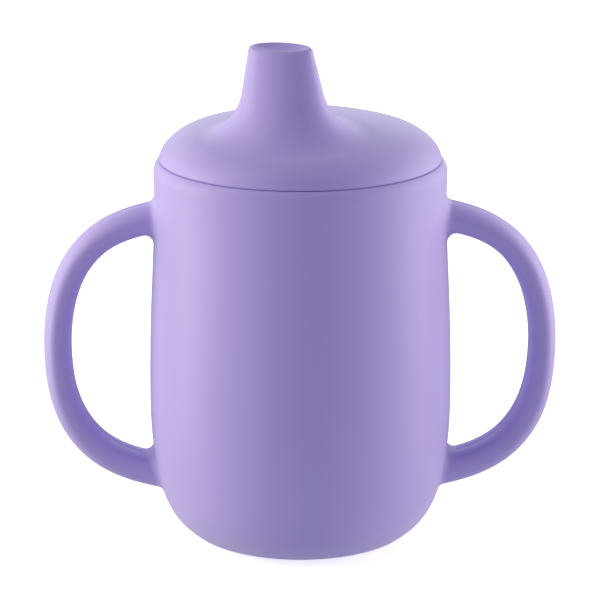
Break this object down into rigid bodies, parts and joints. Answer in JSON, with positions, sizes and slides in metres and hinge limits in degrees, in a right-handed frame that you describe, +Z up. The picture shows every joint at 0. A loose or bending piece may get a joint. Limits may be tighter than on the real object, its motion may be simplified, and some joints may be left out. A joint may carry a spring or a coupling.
{
  "type": "sippy cup",
  "caption": "Soft silicone training cup with a barrelled body, side handles moulded in one with it, and a press-in domed lid with a leaning oval drinking spout.",
  "frame": {"origin": "centre of the flat base, on the surface the cup stands on", "axes": "+Z up along the cup's axis, X through both handles, -Y the drinker's side, where the spout is"},
  "size_m": [0.1282, 0.0756, 0.1271],
  "materials": {
    "cup_silicone": "matte soft-touch silicone, lavender",
    "lid_silicone": "matte soft-touch silicone, lavender"
  },
  "bodies": {
    "cup_body": {"cup": "cup_silicone"},
    "lid_body": {"lid": "lid_silicone"}
  },
  "joints": [
    {"name": "lid_lift", "type": "slide", "parent": "cup_body", "child": "lid_body", "axis": [0, 0, 1], "range_m": [0, 0.04]}
  ]
}
